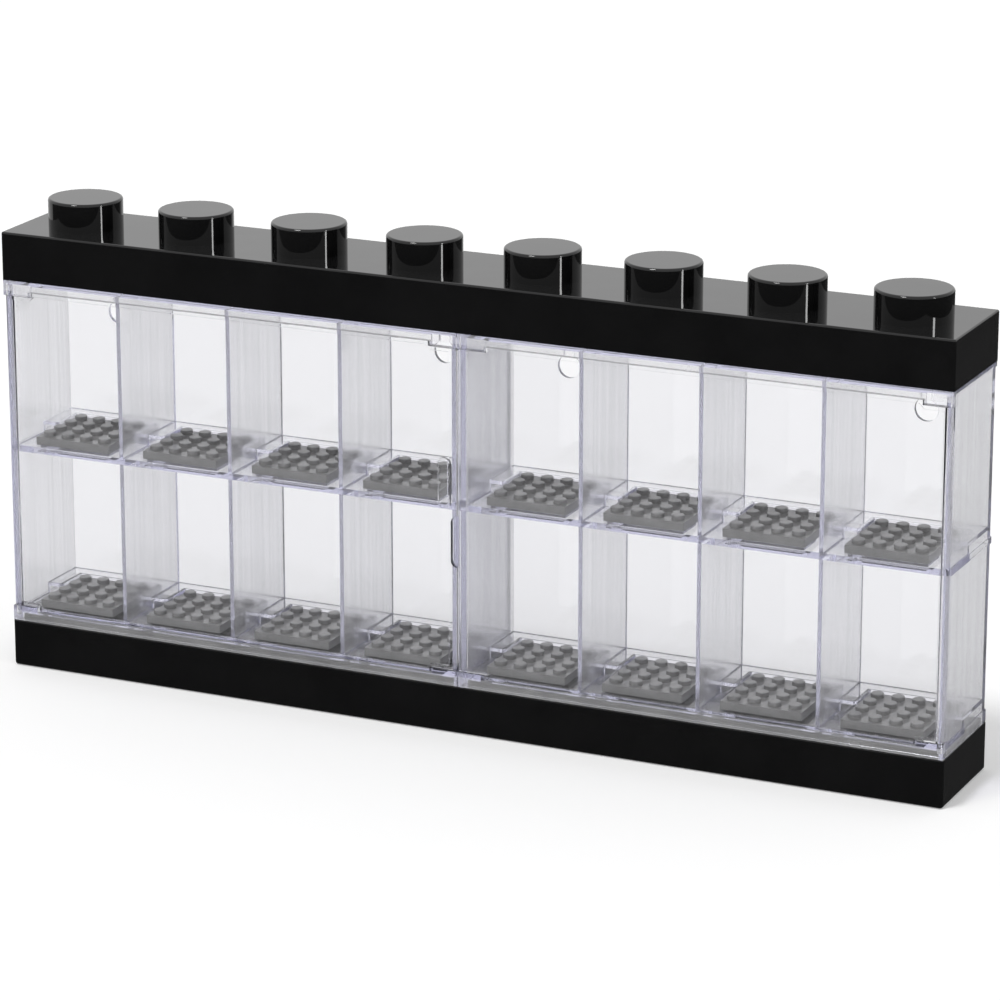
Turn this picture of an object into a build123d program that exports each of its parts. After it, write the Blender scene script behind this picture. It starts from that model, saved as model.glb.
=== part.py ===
from build123d import *
import os

# Minifigure display case with sixteen places: a black base and lid, two clear modules of stacked trays,
# two clear doors and sixteen grey plates. Millimetres, +Z up, the front faces -Y.
# The origin is on the underside of the base, in the middle of its outline.

# Black base and lid
case_width = 382.0
case_depth = 47.0
base_height = 18.3
lid_height = 18.7
black_wall = 2.2
black_top = 2.0
corner_chamfer = 0.8
edge_chamfer = 0.6
plateau_height = 2.0

# Large studs on the lid and the square sockets under the base that take them
stud_count = 8
stud_pitch = 47.75
stud_diameter = 28.6
stud_height = 11.0
stud_edge_chamfer = 0.9
stud_clearance = 0.1
socket_wall = 1.4
socket_depth = 12.0

# Clear modules
module_gap = 0.5
flange_inset = 0.3
wall_inset = 0.4
lower_tray_height = 68.0
upper_tray_height = 68.0
column_count = 4
outer_wall = 2.2
divider_wall = 1.6
back_wall = 1.6
floor_thickness = 2.5
roof_thickness = 2.0
foot_height = 2.3
front_lip_height = 4.0
front_lip_depth = 2.7
front_lip_inset = 0.2
skirt_clearance = 0.3

# Rim on top of the upper trays that the lid fits over, and pads that hold an upper tray on a lower one
upstand_height = 3.0
upstand_wall = 1.6
pad_height = 1.0
pad_width = 30.0
pad_depth = 12.0
pad_setback = 5.0

# Ledges behind the plates, and the bosses that the plates sit over
ledge_height = 4.2
ledge_depth = 21.5
ledge_skin = 1.6
ledge_corner_chamfer = 1.2
boss_height = 1.2

# Grey plates
plate_width = 31.8
plate_thickness = 3.2
plate_wall = 1.5
plate_recess = 1.9
plate_setback = 3.3
plate_clearance = 0.3
plate_stud_count = 4
plate_stud_pitch = 8.0
plate_stud_diameter = 4.9
plate_stud_height = 1.7
plate_stud_sides = 6

# Doors
door_gap = 0.2
door_side_gap = 0.1
door_thickness = 2.0
door_recess = 0.5
door_side_frame = 3.4
door_rail = 1.4
hinge_bar_radius = 1.7
hinge_clearance = 0.25
pin_radius = 1.0
pin_clearance = 0.05
pin_length = 3.4
pin_end_gap = 0.4
lug_width = 10.7
lug_height = 5.9
lug_depth = 4.4
swing_clearance = 0.7

# Finger grips on the left door
grip_length = 19.6
grip_width = 5.0
grip_height = 0.7
grip_setback = 2.4
grip_above_middle = 10.6
notch_width = 2.4
notch_length = 19.6
notch_below_middle = 11.9

# Keyholes for hanging
keyhole_radius = 4.5
keyhole_slot_width = 4.2
keyhole_slot_length = 9.0
keyhole_drop = 20.4

# Heights
clear_bottom = base_height
seam_height = clear_bottom + lower_tray_height
clear_top = seam_height + upper_tray_height
lid_top = clear_top + lid_height
stud_top = lid_top + stud_height
door_middle = (clear_bottom + clear_top) / 2

# Left module, outer faces of its flanges and walls
flange_left = -case_width / 2 + flange_inset
flange_right = -module_gap / 2
flange_back = case_depth / 2 - flange_inset
wall_left = flange_left + wall_inset
wall_right = flange_right - wall_inset
wall_back = flange_back - wall_inset
lip_front = -case_depth / 2 + front_lip_inset
wall_front = lip_front + front_lip_depth
back_inner = wall_back - back_wall

# Compartments of the left module
inside_left = wall_left + outer_wall
inside_right = wall_right - outer_wall
column_width = (inside_right - inside_left - (column_count - 1) * divider_wall) / column_count
column_step = column_width + divider_wall

# Door planes and the hinge axis
door_back = wall_front - door_gap
door_front = door_back - door_thickness
hinge_x = flange_left + door_side_gap + hinge_bar_radius
hinge_y = door_front + hinge_bar_radius
plate_y = wall_front + plate_setback + plate_width / 2


def block(x0, x1, y0, y1, z0, z1):
    """A box between two corners."""
    size = Box(x1 - x0, y1 - y0, z1 - z0, align=(Align.MIN, Align.MIN, Align.MIN))
    return Pos(x0, y0, z0) * size


def cylinder(x, y, z, radius, height):
    """An upright cylinder standing on z."""
    return Pos(x, y, z) * Cylinder(radius, height, align=(Align.CENTER, Align.CENTER, Align.MIN))


def column_centres():
    """Middle of each compartment of the left module, from the outside in."""
    first = inside_left + column_width / 2
    return [first + i * column_step for i in range(column_count)]


def stud_centres():
    """Middle of each large stud along the case."""
    first = -stud_pitch * (stud_count - 1) / 2
    return [first + i * stud_pitch for i in range(stud_count)]


def black_block(z0, height):
    """The outer form of the base or the lid, with its upright corners broken."""
    outline = Rectangle(case_width, case_depth)
    outline = chamfer(outline.vertices(), corner_chamfer)
    return Pos(0, 0, z0) * extrude(outline, height)


def black_hollow(z0, z1):
    """The space inside the black walls."""
    width = case_width - 2 * black_wall
    depth = case_depth - 2 * black_wall
    return block(-width / 2, width / 2, -depth / 2, depth / 2, z0, z1)


def mirrored(shape):
    """The same shape on the other side of the middle of the case."""
    return mirror(shape, about=Plane.YZ)


def make_base():
    """Hollow base: plateaus on top hold the lower trays, and ribbed sockets below take another case's studs."""
    body = black_block(0, base_height)
    bottom = body.faces().sort_by(Axis.Z)[0]
    body = chamfer(bottom.edges(), edge_chamfer)
    body -= black_hollow(0, base_height - black_top)
    skirt = outer_wall + skirt_clearance
    plateau = block(
        wall_left + skirt,
        wall_right - skirt,
        wall_front + skirt,
        wall_back - back_wall - skirt_clearance,
        base_height,
        base_height + plateau_height,
    )
    body += plateau
    body += mirrored(plateau)
    ceiling = base_height - black_top
    floor = ceiling - socket_depth
    inner = stud_diameter / 2 + stud_clearance
    outer = inner + socket_wall
    wall = case_depth / 2 - black_wall
    for x in stud_centres():
        socket = block(x - outer, x + outer, -wall, wall, floor, ceiling)
        socket -= block(x - inner, x + inner, -inner, inner, floor, ceiling)
        socket -= block(x - inner, x + inner, outer, wall, floor, ceiling)
        socket -= block(x - inner, x + inner, -wall, -outer, floor, ceiling)
        body += socket
    return body


def make_lid():
    """Hollow lid that fits over the rims of the upper trays, with large studs on top."""
    body = black_block(clear_top, lid_height)
    top = body.faces().sort_by(Axis.Z)[-1]
    body = chamfer(top.edges(), edge_chamfer)
    body -= black_hollow(clear_top, lid_top - black_top)
    for x in stud_centres():
        stud = cylinder(x, 0, lid_top, stud_diameter / 2, stud_height)
        rim = stud.faces().sort_by(Axis.Z)[-1].edges()
        body += chamfer(rim, stud_edge_chamfer)
    return body


def flange(z0, z1):
    """A band round the sides and the back of a tray that stands out from its walls."""
    return block(flange_left, flange_right, wall_front, flange_back, z0, z1)


def lug(x0, x1, z0):
    """A corner block at the front of a tray, in front of and beside the door's corner."""
    return block(x0, x1, lip_front, lip_front + lug_depth, z0, z0 + lug_height)


def corner_lugs(z0):
    """The hinge lug at the outer corner and its twin at the middle of the case."""
    return [lug(flange_left, flange_left + lug_width, z0), lug(flange_right - lug_width, flange_right, z0)]


def ledge(x, floor_top):
    """A raised U behind and beside a plate."""
    x0 = x - column_width / 2
    x1 = x + column_width / 2
    y0 = back_inner - ledge_depth
    half = plate_width / 2 + plate_clearance
    shape = block(x0, x1, y0, back_inner, floor_top, floor_top + ledge_height)
    shape -= block(x - half, x + half, y0, plate_y + half, floor_top, floor_top + ledge_height)
    ends = shape.edges().filter_by(Axis.Z)
    ends = [e for e in ends if abs(e.center().Y - y0) < 0.1 and abs(abs(e.center().X - x) - half) < 0.1]
    return chamfer(ends, ledge_corner_chamfer)


def ledge_hollow(x, floor_bottom, floor_top):
    """The space under the ledge, open below, that leaves an even skin."""
    x0 = x - column_width / 2
    x1 = x + column_width / 2
    y0 = back_inner - ledge_depth + ledge_skin
    half = plate_width / 2 + plate_clearance + ledge_skin
    z1 = floor_top + ledge_height - ledge_skin
    shape = block(x0, x1, y0, back_inner, floor_bottom, z1)
    return shape - block(x - half, x + half, y0, plate_y + half, floor_bottom, z1)


def tray_shell(z0, z1, floor_bottom, ceiling):
    """Walls, dividers and floor of a tray, open at the front."""
    floor_top = floor_bottom + floor_thickness
    body = block(wall_left, wall_right, wall_front, wall_back, z0, z1)
    body += flange(floor_bottom, floor_top)
    boss_half = plate_width / 2 - plate_wall - plate_clearance
    for x in column_centres():
        x0 = x - column_width / 2
        x1 = x + column_width / 2
        body -= block(x0, x1, wall_front, back_inner, floor_top, ceiling)
        body += ledge(x, floor_top)
        body -= ledge_hollow(x, floor_bottom, floor_top)
        body += block(
            x - boss_half,
            x + boss_half,
            plate_y - boss_half,
            plate_y + boss_half,
            floor_top,
            floor_top + boss_height,
        )
    return body


def cut_hinge(body, z0, z1, hole_z0, hole_z1):
    """Clears the door's round edge from the side wall and bores the pin hole in the lug."""
    body -= cylinder(hinge_x, hinge_y, z0, hinge_bar_radius + hinge_clearance, z1 - z0)
    body -= cylinder(hinge_x, hinge_y, hole_z0, pin_radius + pin_clearance, hole_z1 - hole_z0)
    return body


def make_lower_tray():
    """Lower tray of the left module: a skirt round the plateau of the base, open at the top."""
    z0 = clear_bottom
    floor_bottom = z0 + foot_height
    body = tray_shell(z0, seam_height, floor_bottom, seam_height)
    body += flange(z0, floor_bottom)
    body += block(flange_left, flange_right, lip_front, wall_front, z0, z0 + front_lip_height)
    for shape in corner_lugs(z0):
        body += shape
    body -= block(
        inside_left,
        inside_right,
        wall_front + outer_wall,
        back_inner,
        z0,
        floor_bottom,
    )
    lug_top = z0 + lug_height
    return cut_hinge(body, lug_top, seam_height, lug_top - pin_length - pin_end_gap, lug_top)


def keyhole(x):
    """A round hole with a narrower slot above it, through the back wall."""
    z = clear_top - keyhole_drop
    outline = Circle(keyhole_radius)
    outline += Pos(0, keyhole_slot_length / 2) * Rectangle(keyhole_slot_width, keyhole_slot_length)
    plane = Plane(origin=(x, wall_back, z), x_dir=(1, 0, 0), z_dir=(0, -1, 0))
    return extrude(plane * outline, back_wall)


def make_upper_tray():
    """Upper tray of the left module: keyholes in the back, a roof, and a rim that the lid fits over."""
    z0 = seam_height
    body = tray_shell(z0, clear_top, z0, clear_top - roof_thickness)
    body += flange(clear_top - roof_thickness, clear_top)
    lip_bottom = clear_top - front_lip_height
    body += block(flange_left, flange_right, lip_front, wall_front, lip_bottom, clear_top)
    for shape in corner_lugs(clear_top - lug_height):
        body += shape
    inset = black_wall + skirt_clearance
    rim = block(
        -case_width / 2 + inset,
        flange_right,
        -case_depth / 2 + inset,
        case_depth / 2 - inset,
        clear_top,
        clear_top + upstand_height,
    )
    rim -= block(
        -case_width / 2 + inset + upstand_wall,
        flange_right - upstand_wall,
        -case_depth / 2 + inset + upstand_wall,
        case_depth / 2 - inset - upstand_wall,
        clear_top,
        clear_top + upstand_height,
    )
    body += rim
    pad_front = wall_front + pad_setback
    for x in column_centres():
        x0 = x - pad_width / 2
        x1 = x + pad_width / 2
        body += block(x0, x1, pad_front, pad_front + pad_depth, z0 - pad_height, z0)
    for x in (column_centres()[0], column_centres()[-1]):
        body -= keyhole(x)
    lug_bottom = clear_top - lug_height
    return cut_hinge(body, z0, lug_bottom, lug_bottom, lug_bottom + pin_length + pin_end_gap)


def door_window(left, right, step_left, step_right, step_height):
    """The sunk field of a door, about its middle height: its corners step in beside the lugs on a slant."""
    low = door_middle - clear_bottom - lug_height - door_gap - door_rail
    high = low + step_height
    x1 = step_left + door_rail
    x2 = step_right - door_rail
    upper = [
        (left, low),
        (x1 - step_height, low),
        (x1, high),
        (x2, high),
        (x2 + step_height, low),
        (right, low),
    ]
    lower = [(x, -z) for x, z in reversed(upper)]
    outline = make_face(Polyline(*upper, *lower, close=True))
    return extrude(Plane(origin=(0, 0, 0), x_dir=(1, 0, 0), z_dir=(0, -1, 0)) * outline, -door_recess)


def make_door():
    """Left door: a panel with a raised border, stepped corners, a round hinge edge and a pin at each end."""
    bar_bottom = clear_bottom + lug_height + door_gap
    bar_top = clear_top - lug_height - door_gap
    panel_bottom = clear_bottom + front_lip_height + door_gap
    panel_top = clear_top - front_lip_height - door_gap
    x0 = hinge_x
    x1 = flange_right - door_side_gap
    lug_end = flange_left + lug_width + swing_clearance
    free_lug_end = flange_right - lug_width - swing_clearance
    panel = block(x0, x1, door_front, door_back, bar_bottom, bar_top)
    panel += block(lug_end, free_lug_end, door_front, door_back, panel_bottom, panel_top)
    panel += cylinder(hinge_x, hinge_y, bar_bottom, hinge_bar_radius, bar_top - bar_bottom)
    window_left = hinge_x - hinge_bar_radius + door_side_frame
    window_right = x1 - door_side_frame
    window = door_window(window_left, window_right, lug_end, free_lug_end, panel_top - bar_top)
    panel -= Pos(0, door_front, door_middle) * window
    pin_height = bar_top - bar_bottom + 2 * (pin_length + door_gap)
    panel += cylinder(hinge_x, hinge_y, bar_bottom - pin_length - door_gap, pin_radius, pin_height)
    return panel


def add_grips(door):
    """Left door only: a raised grip bar, and below it a notch that bares the edge of the right door."""
    edge = flange_right - door_side_gap
    grip_x = edge - grip_setback - grip_width / 2
    grip_z = door_middle + grip_above_middle
    plane = Plane(origin=(grip_x, door_front, grip_z), x_dir=(1, 0, 0), z_dir=(0, -1, 0))
    foot = plane * SlotCenterToCenter(grip_length - grip_width, grip_width, rotation=90)
    door += extrude(foot, grip_height)
    notch_z = door_middle - notch_below_middle
    plane = Plane(origin=(edge, door_front, notch_z), x_dir=(1, 0, 0), z_dir=(0, 1, 0))
    notch = plane * SlotCenterToCenter(notch_length - 2 * notch_width, 2 * notch_width, rotation=90)
    return door - extrude(notch, door_thickness)


def make_plate():
    """A plate with its small studs, hollow underneath, standing on its own middle."""
    half = plate_width / 2
    body = block(-half, half, -half, half, 0, plate_thickness)
    inner = half - plate_wall
    body -= block(-inner, inner, -inner, inner, 0, plate_recess)
    outline = RegularPolygon(plate_stud_diameter / 2, plate_stud_sides)
    stud = Pos(0, 0, plate_thickness) * extrude(outline, plate_stud_height)
    spots = GridLocations(plate_stud_pitch, plate_stud_pitch, plate_stud_count, plate_stud_count)
    for spot in spots:
        body += spot * stud
    return body


def main():
    os.makedirs("parts", exist_ok=True)
    lower_tray = make_lower_tray()
    upper_tray = make_upper_tray()
    door = make_door()
    parts = {
        "base": make_base(),
        "lid": make_lid(),
        "tray_lower_left": lower_tray,
        "tray_lower_right": mirrored(lower_tray),
        "tray_upper_left": upper_tray,
        "tray_upper_right": mirrored(upper_tray),
        "door_left": add_grips(door),
        "door_right": mirrored(door),
    }
    left_columns = column_centres()
    columns = left_columns + [-x for x in reversed(left_columns)]
    lower_floor = clear_bottom + foot_height + floor_thickness
    upper_floor = seam_height + floor_thickness
    plate = make_plate()
    for number, x in enumerate(columns, start=1):
        parts[f"plate_lower_{number}"] = Pos(x, plate_y, lower_floor) * plate
        parts[f"plate_upper_{number}"] = Pos(x, plate_y, upper_floor) * plate
    for name, shape in parts.items():
        export_step(shape, f"parts/{name}.step")
    print("height", stud_top, "column width", round(column_width, 2), "hinge", round(hinge_x, 3), round(hinge_y, 3))


main()
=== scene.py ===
"""Looks of the minifigure display case: mouldings, studs, materials, light and camera."""

import math

import bmesh
import bpy
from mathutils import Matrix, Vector


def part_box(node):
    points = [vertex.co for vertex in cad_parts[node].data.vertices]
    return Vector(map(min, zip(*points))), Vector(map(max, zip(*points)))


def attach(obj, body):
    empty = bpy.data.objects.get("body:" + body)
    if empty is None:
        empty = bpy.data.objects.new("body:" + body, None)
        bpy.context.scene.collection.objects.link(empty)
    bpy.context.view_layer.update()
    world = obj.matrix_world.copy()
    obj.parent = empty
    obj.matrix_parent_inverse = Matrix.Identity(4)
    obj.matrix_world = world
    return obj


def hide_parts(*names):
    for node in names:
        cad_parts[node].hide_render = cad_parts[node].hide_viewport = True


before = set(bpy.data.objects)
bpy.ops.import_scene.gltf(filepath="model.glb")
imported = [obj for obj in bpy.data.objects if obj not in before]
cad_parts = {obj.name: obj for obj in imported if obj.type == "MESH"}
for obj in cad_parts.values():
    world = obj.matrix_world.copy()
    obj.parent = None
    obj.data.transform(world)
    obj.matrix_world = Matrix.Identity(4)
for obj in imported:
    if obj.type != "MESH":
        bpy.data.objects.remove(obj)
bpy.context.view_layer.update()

MM = 0.001

# Air left at the ends of each moulding, metres
AIR_GAP = 0.02 * MM

# Edge rounding, metres
TRAY_ROUND = 0.25 * MM
DOOR_ROUND = 0.35 * MM
BASE_ROUND = 0.35 * MM
LID_ROUND = 0.7 * MM
PLATE_ROUND = 0.2 * MM
SMALLEST_CORNER = 0.05 * MM

# Rounded copies: join width, metres, and the largest flat and smallest sharp angle, degrees
JOIN_WIDTH = 0.001 * MM
FLAT_ANGLE = 1
SHARP_ANGLE = 35

# Lid, metres
LID_WALL = 2.2 * MM
LID_ROOF = 2.0 * MM
LID_CORNER = 0.9 * MM
STUD_RADIUS = 14.3 * MM
STUD_HEIGHT = 11.0 * MM
STUD_ROUND = 0.9 * MM
STUD_COUNT = 8
STUD_PITCH = 47.75 * MM
STUD_SIDES = 96

# Clear plastic: where the front lips are, metres
LIP_BACK = -20.4 * MM
LOWER_LIP_TOP = 22.4 * MM
UPPER_LIP_BOTTOM = 150.2 * MM

# Clear plastic: lowest and highest roughness, and the share of milkiness
CLEAR_ROUGHNESS = (0.0, 0.02)
SIDE_ROUGHNESS = (0.1, 0.18)
LIP_ROUGHNESS = (0.04, 0.1)
SIDE_MILK = (0.11, 0.21)
LIP_MILK = (0.17, 0.27)
CLEAR_COLOUR = (0.95, 0.95, 0.954, 1)
CLEAR_SHADOW = (0.95, 0.95, 0.955, 1)
CAST_COLOUR = (0.74, 0.74, 0.88, 1)
CAST_DENSITY = 40.0
UPRIGHT_STREAKS = (1, 1, 0.01)

# Grey plates, metres
PLATE_WALL = 1.5 * MM
PLATE_RECESS = 1.9 * MM
PLATE_THICKNESS = 3.2 * MM
PLATE_CORNER = 0.25 * MM
SMALL_STUD_RADIUS = 2.45 * MM
SMALL_STUD_PITCH = 8.0 * MM
SMALL_STUD_ROUND = 0.4 * MM
SMALL_STUD_COUNT = 4
SMALL_STUD_SIDES = 32

# Camera, fitted to the photograph: azimuth and elevation in degrees, place in metres
CAMERA_AZIMUTH = 24.773
CAMERA_ELEVATION = 16.876
CAMERA_PLACE = (0.68408, -1.46782, 0.57585)
CAMERA_FOCAL_PIXELS = 4545.0
PICTURE_PIXELS = 1000
SENSOR_WIDTH = 36.0

# Floor: a round disc, its size and height in metres
FLOOR_RADIUS = 3.0
FLOOR_HEIGHT = -0.2 * MM
FLOOR_COLOUR = (0.86, 0.86, 0.86, 1)
FLOOR_LIFT = 0.22

# Painted reflection: a round disc that glows and is seen only in reflections, its two glow
# strengths, and where it goes from one to the other, metres
REFLECTION_DISC_RADIUS = 2.9
REFLECTION_DISC_HEIGHT = -0.1 * MM
PAINTED_REFLECTION_DARK = 0.06
PAINTED_REFLECTION_LIGHT = 0.7
PAINTED_REFLECTION_DARK_X = 0.2
PAINTED_REFLECTION_LIGHT_X = -0.15
PAINTED_REFLECTION_DARK_Y = 0.0
PAINTED_REFLECTION_LIGHT_Y = 0.05
DISC_SIDES = 64

# Light: strength of the world and of its background, and of the two lamps; widths in degrees
WHITE = (1, 1, 1, 1)
SOFT_STRENGTH = 0.58
BACKGROUND_STRENGTH = 1.0
KEY_DIRECTION = (-0.35, -0.5, 1.3)
KEY_STRENGTH = 1.3
KEY_WIDTH = 12
RIM_DIRECTION = (0.952, -0.185, 0.242)
RIM_STRENGTH = 0.35
RIM_WIDTH = 6


# Meshes


def rounded_outline(half_x, half_y, radius, z, steps=4):
    """Points of a rectangle with rounded corners, counter-clockwise, at height z."""
    points = []
    for corner in range(4):
        sign_x = 1 if corner in (0, 3) else -1
        sign_y = 1 if corner in (0, 1) else -1
        centre = Vector((sign_x * (half_x - radius), sign_y * (half_y - radius), z))
        for step in range(steps + 1):
            angle = math.pi / 2 * (corner + step / steps)
            points.append(centre + radius * Vector((math.cos(angle), math.sin(angle), 0)))
    return points


def round_outline(radius, z, sides):
    """Points of a circle, counter-clockwise, at height z."""
    angles = [2 * math.pi * i / sides for i in range(sides)]
    return [Vector((radius * math.cos(a), radius * math.sin(a), z)) for a in angles]


def add_stack(mesh, outlines, place=Vector((0, 0, 0)), smooth=False):
    """Joins outlines of equal length into a skin, and closes its last end."""
    rings = [[mesh.verts.new(place + p) for p in outline] for outline in outlines]
    faces = []
    for low, high in zip(rings, rings[1:]):
        count = len(low)
        for i in range(count):
            j = (i + 1) % count
            faces.append(mesh.faces.new((low[i], low[j], high[j], high[i])))
    faces.append(mesh.faces.new(rings[-1]))
    for face in faces:
        face.smooth = smooth
    return rings


def edge_steps(radius, steps=4):
    """Inset and drop of each step round a quarter circle, from the side up to the top."""
    angles = [math.pi / 2 * i / steps for i in range(steps + 1)]
    return [(radius * (1 - math.cos(a)), radius * (1 - math.sin(a))) for a in angles]


def add_stud(mesh, place, radius, height, rounding, sides):
    """A round stud with a rounded rim, open below."""
    hold = rounding / 6
    outlines = [
        round_outline(radius, 0, sides),
        round_outline(radius, height - rounding - hold, sides),
    ]
    for inset, drop in edge_steps(rounding):
        outlines.append(round_outline(radius - inset, height - drop, sides))
    outlines.append(round_outline(radius - rounding - hold, height, sides))
    add_stack(mesh, outlines, place, smooth=True)


def finished(mesh, name):
    """A mesh datablock from a bmesh, with its normals pointing out."""
    bmesh.ops.recalc_face_normals(mesh, faces=mesh.faces)
    data = bpy.data.meshes.new(name)
    mesh.to_mesh(data)
    mesh.free()
    return data


def shown(name, data, body, material):
    """An object for a mesh, riding on a body."""
    piece = bpy.data.objects.new(name, data)
    bpy.context.scene.collection.objects.link(piece)
    data.materials.clear()
    data.materials.append(material)
    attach(piece, body)
    return piece


def hollow_block(mesh, half_x, half_y, corner, z0, z1, wall, roof, rounding):
    """A box with rounded upright corners and a rounded top rim, open below and hollow inside."""
    outer = [rounded_outline(half_x, half_y, corner, z0)]
    for inset, drop in edge_steps(rounding):
        radius = max(corner - inset, SMALLEST_CORNER)
        outer.append(rounded_outline(half_x - inset, half_y - inset, radius, z1 - drop))
    skin = add_stack(mesh, outer)
    inner = [
        rounded_outline(half_x - wall, half_y - wall, corner, z0),
        rounded_outline(half_x - wall, half_y - wall, corner, z1 - roof),
    ]
    lining = add_stack(mesh, inner)
    count = len(skin[0])
    for i in range(count):
        j = (i + 1) % count
        mesh.faces.new((skin[0][i], skin[0][j], lining[0][j], lining[0][i]))


def rounded_copy(node, name, width, body, material):
    """A copy of a solid, with rounded edges and a hair of air at its ends, which stands for it."""
    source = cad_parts[node]
    mesh = bmesh.new()
    mesh.from_mesh(source.data)
    bmesh.ops.remove_doubles(mesh, verts=mesh.verts, dist=JOIN_WIDTH)
    flat = math.radians(FLAT_ANGLE)
    bmesh.ops.dissolve_limit(mesh, angle_limit=flat, verts=mesh.verts, edges=mesh.edges)
    data = bpy.data.meshes.new(name)
    mesh.to_mesh(data)
    mesh.free()
    draft = bpy.data.objects.new(name + "_draft", data)
    bpy.context.scene.collection.objects.link(draft)
    bevel = draft.modifiers.new("bevel", "BEVEL")
    bevel.width = width
    bevel.segments = 2
    bevel.limit_method = "ANGLE"
    bevel.angle_limit = math.radians(SHARP_ANGLE)
    bevel.use_clamp_overlap = True
    depsgraph = bpy.context.evaluated_depsgraph_get()
    result = bpy.data.meshes.new_from_object(draft.evaluated_get(depsgraph))
    bpy.data.objects.remove(draft)
    low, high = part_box(node)
    middle = (low.z + high.z) / 2
    squeeze = 1 - 2 * AIR_GAP / (high.z - low.z)
    for vertex in result.vertices:
        vertex.co.z = middle + (vertex.co.z - middle) * squeeze
    piece = shown(name, result, body, material)
    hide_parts(node)


# Materials


def bare_material(name):
    """A material whose node tree holds only its output."""
    material = bpy.data.materials.new(name)
    material.use_nodes = True
    tree = material.node_tree
    tree.nodes.clear()
    output = tree.nodes.new("ShaderNodeOutputMaterial")
    return material, tree, output


def plastic_material(name):
    material, tree, output = bare_material(name)
    shader = tree.nodes.new("ShaderNodeBsdfPrincipled")
    tree.links.new(shader.outputs[0], output.inputs["Surface"])
    return material, tree, shader, output


def noise(tree, scale, detail=2.0, stretch=(1, 1, 1)):
    """Noise fixed to the object, with its scale in waves per metre."""
    place = tree.nodes.new("ShaderNodeTexCoord")
    mapping = tree.nodes.new("ShaderNodeMapping")
    mapping.inputs["Scale"].default_value = stretch
    texture = tree.nodes.new("ShaderNodeTexNoise")
    texture.inputs["Scale"].default_value = scale
    texture.inputs["Detail"].default_value = detail
    tree.links.new(place.outputs["Object"], mapping.inputs["Vector"])
    tree.links.new(mapping.outputs["Vector"], texture.inputs["Vector"])
    return texture.outputs["Fac"]


def ranged(tree, value, low, high):
    """Maps a 0 to 1 value to a range."""
    node = tree.nodes.new("ShaderNodeMapRange")
    node.inputs["From Min"].default_value = 0.3
    node.inputs["From Max"].default_value = 0.7
    node.inputs["To Min"].default_value = low
    node.inputs["To Max"].default_value = high
    tree.links.new(value, node.inputs["Value"])
    return node.outputs["Result"]


def bumped(tree, shader, heights):
    """Chains bumps, given as (height socket, distance in metres)."""
    normal = None
    for value, distance in heights:
        bump = tree.nodes.new("ShaderNodeBump")
        bump.inputs["Distance"].default_value = distance
        tree.links.new(value, bump.inputs["Height"])
        if normal:
            tree.links.new(normal, bump.inputs["Normal"])
        normal = bump.outputs["Normal"]
    tree.links.new(normal, shader.inputs["Normal"])


def mixed_colour(tree, factor, first, second):
    node = tree.nodes.new("ShaderNodeMix")
    node.data_type = "RGBA"
    node.inputs["A"].default_value = (*first, 1)
    node.inputs["B"].default_value = (*second, 1)
    tree.links.new(factor, node.inputs["Factor"])
    return node.outputs["Result"]


def black_plastic():
    """Polished black, with a slight unevenness left by the mould and the finest scuffs."""
    material, tree, shader, _ = plastic_material("black_gloss")
    shade = ranged(tree, noise(tree, 60), 0, 1)
    colour = mixed_colour(tree, shade, (0.0045, 0.0045, 0.0047), (0.0065, 0.0065, 0.0067))
    tree.links.new(colour, shader.inputs["Base Color"])
    scuffs = noise(tree, 900, 3.0, (0.15, 1, 1))
    tree.links.new(ranged(tree, scuffs, 0.02, 0.05), shader.inputs["Roughness"])
    shader.inputs["IOR"].default_value = 1.45
    bumped(tree, shader, [(noise(tree, 35), 0.06 * MM), (noise(tree, 1500), 0.002 * MM)])
    return material


def grey_plastic():
    """Satin grey with a fine moulded grain and lighter patches."""
    material, tree, shader, _ = plastic_material("grey_satin")
    shade = ranged(tree, noise(tree, 180), 0, 1)
    colour = mixed_colour(tree, shade, (0.2, 0.2, 0.195), (0.25, 0.25, 0.244))
    tree.links.new(colour, shader.inputs["Base Color"])
    tree.links.new(ranged(tree, noise(tree, 700, 3.0), 0.04, 0.08), shader.inputs["Roughness"])
    shader.inputs["IOR"].default_value = 1.5
    bumped(tree, shader, [(noise(tree, 3000), 0.006 * MM)])
    return material


def compared(tree, operation, value, limit):
    """1 where a value is above or below a limit, else 0."""
    node = tree.nodes.new("ShaderNodeMath")
    node.operation = operation
    tree.links.new(value, node.inputs[0])
    node.inputs[1].default_value = limit
    return node.outputs[0]


def combined(tree, operation, first, second):
    node = tree.nodes.new("ShaderNodeMath")
    node.operation = operation
    tree.links.new(first, node.inputs[0])
    tree.links.new(second, node.inputs[1])
    return node.outputs[0]


def axes_of(tree, output):
    """X, Y and Z of a coordinate that is fixed to the object: its place or its normal."""
    place = tree.nodes.new("ShaderNodeTexCoord")
    split = tree.nodes.new("ShaderNodeSeparateXYZ")
    tree.links.new(place.outputs[output], split.inputs[0])
    return split.outputs


def side_faces(tree):
    """1 on the faces of a piece that look along its X axis: the dividers and side walls."""
    size = tree.nodes.new("ShaderNodeMath")
    size.operation = "ABSOLUTE"
    tree.links.new(axes_of(tree, "Normal")["X"], size.inputs[0])
    return compared(tree, "GREATER_THAN", size.outputs[0], 0.95)


def front_lips(tree):
    """1 on the lips along the lower and upper edge of the front."""
    place = axes_of(tree, "Object")
    front = compared(tree, "LESS_THAN", place["Y"], LIP_BACK)
    low = compared(tree, "LESS_THAN", place["Z"], LOWER_LIP_TOP)
    high = compared(tree, "GREATER_THAN", place["Z"], UPPER_LIP_BOTTOM)
    return combined(tree, "MULTIPLY", front, combined(tree, "MAXIMUM", low, high))


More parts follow.
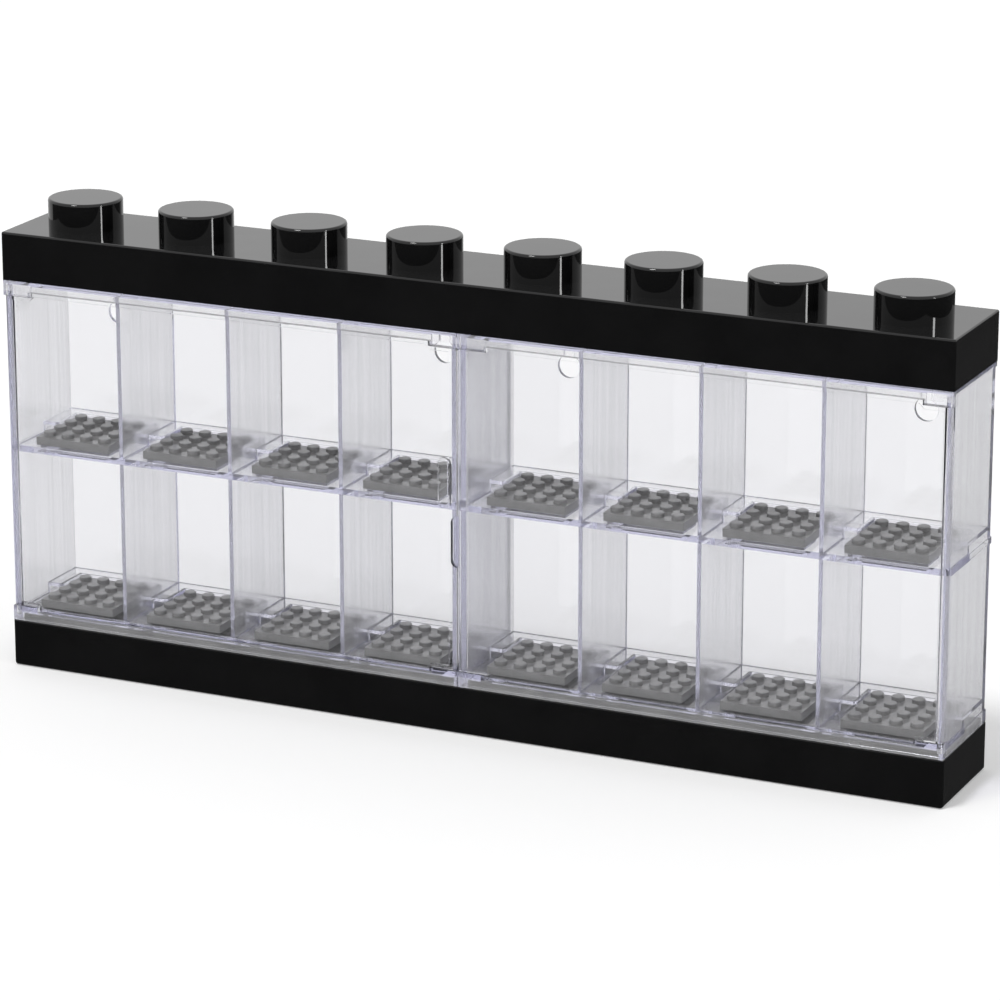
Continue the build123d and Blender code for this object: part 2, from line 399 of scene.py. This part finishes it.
def on_sides_and_lips(tree, side_value, lip_value):
    """One value on the dividers and side walls, another on the lips, and 0 elsewhere."""
    on_sides = combined(tree, "MULTIPLY", side_faces(tree), side_value)
    on_lips = combined(tree, "MULTIPLY", front_lips(tree), lip_value)
    return combined(tree, "MAXIMUM", on_sides, on_lips)


def add_haze(tree, shader, polish):
    """Hazy sides and milky lips, with faint upright streaks. Gives back the roughness."""
    haze = on_sides_and_lips(
        tree,
        ranged(tree, noise(tree, 700, 2.0, UPRIGHT_STREAKS), *SIDE_ROUGHNESS),
        ranged(tree, noise(tree, 80), *LIP_ROUGHNESS),
    )
    milk = on_sides_and_lips(
        tree,
        ranged(tree, noise(tree, 500, 2.0, UPRIGHT_STREAKS), *SIDE_MILK),
        ranged(tree, noise(tree, 60), *LIP_MILK),
    )
    clear = tree.nodes.new("ShaderNodeMath")
    clear.operation = "SUBTRACT"
    clear.inputs[0].default_value = 1
    tree.links.new(milk, clear.inputs[1])
    tree.links.new(clear.outputs[0], shader.inputs["Transmission Weight"])
    return combined(tree, "MAXIMUM", polish, haze)


def let_light_through(tree, shader, output):
    """Shadow and diffuse rays pass straight through, so that the inside is lit."""
    path = tree.nodes.new("ShaderNodeLightPath").outputs
    passing = combined(tree, "MAXIMUM", path["Is Shadow Ray"], path["Is Diffuse Ray"])
    pass_light = tree.nodes.new("ShaderNodeBsdfTransparent")
    pass_light.inputs["Color"].default_value = CLEAR_SHADOW
    mix = tree.nodes.new("ShaderNodeMixShader")
    tree.links.new(passing, mix.inputs[0])
    tree.links.new(shader.outputs[0], mix.inputs[1])
    tree.links.new(pass_light.outputs[0], mix.inputs[2])
    tree.links.new(mix.outputs[0], output.inputs["Surface"])


def clear_plastic(name, hazy):
    """Clear plastic, lavender in its thickness and slightly wavy from the mould."""
    material, tree, shader, output = plastic_material(name)
    shader.inputs["Base Color"].default_value = CLEAR_COLOUR
    shader.inputs["IOR"].default_value = 1.57
    shader.inputs["Transmission Weight"].default_value = 1
    roughness = ranged(tree, noise(tree, 500, 3.0), *CLEAR_ROUGHNESS)
    if hazy:
        roughness = add_haze(tree, shader, roughness)
    tree.links.new(roughness, shader.inputs["Roughness"])
    waves = (noise(tree, 45), 0.03 * MM)
    ripples = (noise(tree, 160, 2.0, (1, 1, 0.3)), 0.003 * MM)
    bumped(tree, shader, [waves, ripples])
    let_light_through(tree, shader, output)
    absorb = tree.nodes.new("ShaderNodeVolumeAbsorption")
    absorb.inputs["Color"].default_value = CAST_COLOUR
    absorb.inputs["Density"].default_value = CAST_DENSITY
    tree.links.new(absorb.outputs[0], output.inputs["Volume"])
    return material


# Floor, painted reflection disc, world, lamps and camera


def backdrop_factor(tree):
    """1 for the rays that see the background: camera, mirror and see-through rays."""
    path = tree.nodes.new("ShaderNodeLightPath")
    total = path.outputs["Is Camera Ray"]
    for name in ("Is Glossy Ray", "Is Transmission Ray"):
        total = combined(tree, "MAXIMUM", total, path.outputs[name])
    return total


def stage_disc(name, radius, height, material):
    """A flat disc that belongs to the stage and not to the object."""
    mesh = bmesh.new()
    add_stack(mesh, [round_outline(radius, height, DISC_SIDES)])
    disc = bpy.data.objects.new(name, finished(mesh, name))
    disc.data.materials.append(material)
    bpy.context.scene.collection.objects.link(disc)
    return disc


def make_floor():
    """A pale floor that keeps the shadow and goes over into the white background."""
    material, tree, output = bare_material("floor_pale")
    diffuse = tree.nodes.new("ShaderNodeBsdfDiffuse")
    diffuse.inputs["Color"].default_value = FLOOR_COLOUR
    lift = tree.nodes.new("ShaderNodeEmission")
    lift.inputs["Color"].default_value = WHITE
    strength = tree.nodes.new("ShaderNodeMath")
    strength.operation = "MULTIPLY"
    strength.inputs[1].default_value = FLOOR_LIFT
    tree.links.new(backdrop_factor(tree), strength.inputs[0])
    tree.links.new(strength.outputs[0], lift.inputs["Strength"])
    total = tree.nodes.new("ShaderNodeAddShader")
    tree.links.new(diffuse.outputs[0], total.inputs[0])
    tree.links.new(lift.outputs[0], total.inputs[1])
    tree.links.new(total.outputs[0], output.inputs["Surface"])
    stage_disc("floor", FLOOR_RADIUS, FLOOR_HEIGHT, material)


def slope(tree, value, start, end, smooth=False):
    """0 to 1 while a value goes from start to end."""
    node = tree.nodes.new("ShaderNodeMapRange")
    if smooth:
        node.interpolation_type = "SMOOTHSTEP"
    node.inputs["From Min"].default_value = start
    node.inputs["From Max"].default_value = end
    tree.links.new(value, node.inputs["Value"])
    return node.outputs["Result"]


def make_painted_reflection():
    """Painted reflection: a dark disc round the object that glows and is seen only in reflections,
    lighter behind, towards the left.
    """
    material, tree, output = bare_material("painted_reflection_glow")
    # Painted reflection: this glow stands in for the dark and lighter surroundings that the glossy
    # plastic mirrors
    shade = tree.nodes.new("ShaderNodeEmission")
    place = axes_of(tree, "Object")
    across = slope(tree, place["X"], PAINTED_REFLECTION_DARK_X, PAINTED_REFLECTION_LIGHT_X, smooth=True)
    behind = slope(tree, place["Y"], PAINTED_REFLECTION_DARK_Y, PAINTED_REFLECTION_LIGHT_Y)
    level = tree.nodes.new("ShaderNodeMapRange")
    level.inputs["To Min"].default_value = PAINTED_REFLECTION_DARK
    level.inputs["To Max"].default_value = PAINTED_REFLECTION_LIGHT
    tree.links.new(combined(tree, "MULTIPLY", across, behind), level.inputs["Value"])
    tree.links.new(level.outputs["Result"], shade.inputs["Strength"])
    tree.links.new(shade.outputs[0], output.inputs["Surface"])
    # Painted reflection: hidden from the camera, from diffuse and see-through rays and from
    # shadows, so only mirror rays see its glow
    reflection_disc = stage_disc("reflection_disc", REFLECTION_DISC_RADIUS, REFLECTION_DISC_HEIGHT, material)
    reflection_disc.visible_camera = False
    reflection_disc.visible_diffuse = False
    reflection_disc.visible_transmission = False
    reflection_disc.visible_shadow = False


def add_background(tree, strength):
    node = tree.nodes.new("ShaderNodeBackground")
    node.inputs["Color"].default_value = WHITE
    node.inputs["Strength"].default_value = strength
    return node.outputs[0]


def make_world():
    """Plain soft light from all round, and a white background."""
    world = bpy.data.worlds.new("studio")
    bpy.context.scene.world = world
    world.use_nodes = True
    tree = world.node_tree
    tree.nodes.clear()
    output = tree.nodes.new("ShaderNodeOutputWorld")
    mix = tree.nodes.new("ShaderNodeMixShader")
    tree.links.new(backdrop_factor(tree), mix.inputs[0])
    tree.links.new(add_background(tree, SOFT_STRENGTH), mix.inputs[1])
    tree.links.new(add_background(tree, BACKGROUND_STRENGTH), mix.inputs[2])
    tree.links.new(mix.outputs[0], output.inputs["Surface"])


def add_sun(name, direction, strength, width):
    """A lamp that shines evenly from one direction, its width in degrees."""
    light = bpy.data.lights.new(name, "SUN")
    light.energy = strength
    light.angle = math.radians(width)
    lamp = bpy.data.objects.new(name, light)
    lamp.rotation_euler = Vector(direction).to_track_quat("Z", "Y").to_euler()
    bpy.context.scene.collection.objects.link(lamp)


def make_camera():
    camera = bpy.data.cameras.new("camera")
    camera.sensor_width = SENSOR_WIDTH
    camera.lens = CAMERA_FOCAL_PIXELS / PICTURE_PIXELS * SENSOR_WIDTH
    camera.clip_start = 0.05
    camera.clip_end = 50
    view = bpy.data.objects.new("camera", camera)
    view.location = CAMERA_PLACE
    view.rotation_euler = (math.radians(90 - CAMERA_ELEVATION), 0, math.radians(CAMERA_AZIMUTH))
    bpy.context.scene.collection.objects.link(view)
    bpy.context.scene.camera = view


# Pieces


def make_lid(material):
    """The lid with its eight large studs, which stands for the solid."""
    low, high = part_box("lid")
    lid_top = high.z - STUD_HEIGHT
    mesh = bmesh.new()
    bottom = low.z + AIR_GAP
    hollow_block(
        mesh, high.x, high.y, LID_CORNER, bottom, lid_top, LID_WALL, LID_ROOF, LID_ROUND
    )
    for i in range(STUD_COUNT):
        x = STUD_PITCH * (i - (STUD_COUNT - 1) / 2)
        place = Vector((x, 0, lid_top))
        add_stud(mesh, place, STUD_RADIUS, STUD_HEIGHT, STUD_ROUND, STUD_SIDES)
    piece = shown("lid_moulding", finished(mesh, "lid_moulding"), "case", material)
    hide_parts("lid")


def plate_mesh():
    """A grey plate with sixteen round studs, with its origin under its middle."""
    low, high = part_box("plate_upper_1")
    half = (high.x - low.x) / 2
    mesh = bmesh.new()
    roof = PLATE_THICKNESS - PLATE_RECESS
    hollow_block(
        mesh, half, half, PLATE_CORNER, 0, PLATE_THICKNESS, PLATE_WALL, roof, PLATE_ROUND
    )
    height = high.z - low.z - PLATE_THICKNESS
    for i in range(SMALL_STUD_COUNT):
        for j in range(SMALL_STUD_COUNT):
            x = SMALL_STUD_PITCH * (i - (SMALL_STUD_COUNT - 1) / 2)
            y = SMALL_STUD_PITCH * (j - (SMALL_STUD_COUNT - 1) / 2)
            place = Vector((x, y, PLATE_THICKNESS))
            add_stud(mesh, place, SMALL_STUD_RADIUS, height, SMALL_STUD_ROUND, SMALL_STUD_SIDES)
    return finished(mesh, "grey_plate")


def make_plates(material):
    data = plate_mesh()
    for node in sorted(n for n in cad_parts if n.startswith("plate_")):
        low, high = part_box(node)
        piece = shown("grey_" + node, data, "case", material)
        piece.location = ((low.x + high.x) / 2, (low.y + high.y) / 2, low.z + AIR_GAP)
        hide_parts(node)


def main():
    black = black_plastic()
    tray = clear_plastic("clear_tray", hazy=True)
    door = clear_plastic("clear_door", hazy=False)
    grey = grey_plastic()
    rounded_copy("base", "base_moulding", BASE_ROUND, "case", black)
    make_lid(black)
    for node in ("tray_lower_left", "tray_lower_right", "tray_upper_left", "tray_upper_right"):
        rounded_copy(node, "clear_" + node, TRAY_ROUND, "case", tray)
    rounded_copy("door_left", "clear_door_left", DOOR_ROUND, "left_door", door)
    rounded_copy("door_right", "clear_door_right", DOOR_ROUND, "right_door", door)
    make_plates(grey)
    make_floor()
    make_painted_reflection()
    make_world()
    add_sun("key", KEY_DIRECTION, KEY_STRENGTH, KEY_WIDTH)
    add_sun("rim", RIM_DIRECTION, RIM_STRENGTH, RIM_WIDTH)
    make_camera()
    cycles = bpy.context.scene.cycles
    cycles.max_bounces = 28
    cycles.transmission_bounces = 24
    cycles.glossy_bounces = 24
    cycles.transparent_max_bounces = 32
    cycles.caustics_reflective = False
    cycles.caustics_refractive = False
    bpy.context.scene.view_settings.view_transform = "Standard"


main()
